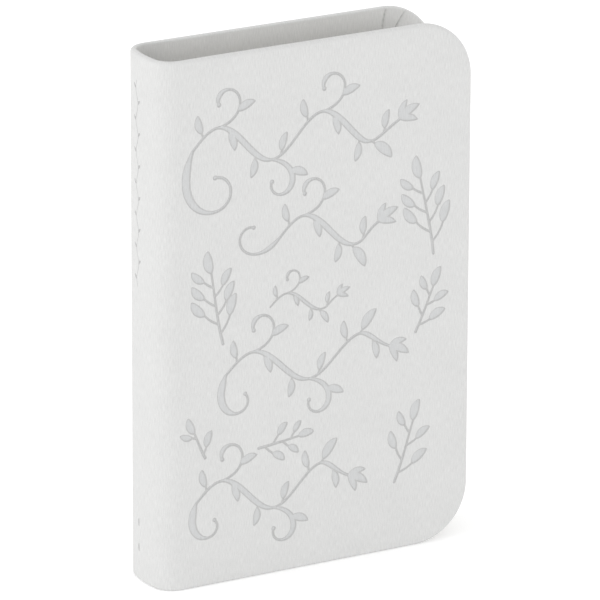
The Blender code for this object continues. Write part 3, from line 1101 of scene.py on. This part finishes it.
def make_finishes():
    """All materials by what they are."""
    # Painted shade: the pressed strokes' walls are the leatherette darkened to 0.78.
    shaded_wall = scaled_colour(LEATHERETTE_COLOUR, 0.78)
    floor = scaled_colour(PRESSED_COLOUR, 0.88)
    return {
        "leatherette": leatherette("leatherette_looks", LEATHERETTE_COLOUR, 0.60, 0.035),
        "shaded_pressed_wall": leatherette("shaded_pressed_wall_looks", shaded_wall, 0.55, 0.010),
        "pressed_floor": leatherette("pressed_floor_looks", floor, 0.46, 0.012),
        "endpaper": paper("endpaper_looks", (0.80, 0.80, 0.785)),
        "page": paper("page_looks", (0.83, 0.81, 0.76)),
        "board": board(),
        "foam": foam(),
        "kraft": kraft(),
        "mull": woven("mull_looks", (0.74, 0.71, 0.62), 4.0, 0.12),
        "tape": woven("tape_looks", (0.76, 0.74, 0.69), 9.0, 0.06),
        "headband": headband_silk(),
    }


def dress_inner_parts(finishes):
    """Procedural materials on the CAD parts inside the binding."""
    by_node = {
        "front_pad": "foam", "back_pad": "foam", "front_board": "board", "back_board": "board",
        "spine_inlay": "board", "spine_lining": "kraft", "mull": "mull",
        "head_tape": "tape", "middle_tape": "tape", "tail_tape": "tape",
    }
    for node, key in by_node.items():
        mesh = bpy.data.objects[node].data
        mesh.materials.clear()
        mesh.materials.append(finishes[key])


# ---------------------------------------------------------------- floor, light and camera

def make_floor():
    """A plain white floor."""
    made = Nodes("floor_looks", (0.9, 0.9, 0.9), 0.9, 0.1)
    made.shader.inputs["Emission Color"].default_value = (1, 1, 1, 1)
    made.shader.inputs["Emission Strength"].default_value = 0.22
    mesh = bpy.data.meshes.new("floor")
    reach = 3.0
    corners = [(-reach, -reach, 0), (reach, -reach, 0), (reach, reach, 0), (-reach, reach, 0)]
    mesh.from_pydata(corners, [], [(0, 1, 2, 3)])
    mesh.materials.append(made.material)
    place("floor", mesh)


def soft_light(name, azimuth, elevation, distance, size, watts):
    """A large square light that faces the book from that direction."""
    data = bpy.data.lights.new(name, "AREA")
    data.energy = watts
    data.size = size
    light = bpy.data.objects.new(name, data)
    direction = direction_from(math.radians(azimuth), math.radians(elevation))
    light.location = Vector((0, 0, HEIGHT / 2 * MM)) + direction * distance
    light.rotation_euler = direction.to_track_quat("Z", "Y").to_euler()
    bpy.context.scene.collection.objects.link(light)


def direction_from(azimuth, elevation):
    """The unit vector towards a place at that azimuth from the front and that height."""
    level = math.cos(elevation)
    return Vector((math.sin(azimuth) * level, -math.cos(azimuth) * level, math.sin(elevation)))


def make_light():
    """An even white surround with soft lights from the left and from the front."""
    world = bpy.data.worlds.new("studio")
    world.use_nodes = True
    surround = world.node_tree.nodes["Background"]
    surround.inputs["Color"].default_value = (1, 1, 1, 1)
    surround.inputs["Strength"].default_value = 1.0
    bpy.context.scene.world = world
    bpy.context.scene.view_settings.view_transform = "Standard"
    soft_light("left_light", -100, 15, 1.6, 1.0, 3.8)
    soft_light("front_light", 10, 3, 1.8, 1.2, 2.4)


def make_camera():
    """The camera at the photograph's viewing angle."""
    data = bpy.data.cameras.new("camera")
    data.lens = CAMERA_LENS
    camera = bpy.data.objects.new("camera", data)
    back = direction_from(CAMERA_AZIMUTH, CAMERA_ELEVATION)
    turned = back.to_track_quat("Z", "Y") @ Matrix.Rotation(CAMERA_ROLL, 3, "Z").to_quaternion()
    camera.rotation_euler = turned.to_euler()
    camera.location = (Vector(CAMERA_AIM) + back * CAMERA_DISTANCE) * MM
    bpy.context.scene.collection.objects.link(camera)
    bpy.context.scene.camera = camera


looks = make_finishes()
make_skins(looks)
make_endpapers(looks)
make_pages(looks)
make_headbands(looks)
dress_inner_parts(looks)
make_floor()
make_light()
make_camera()
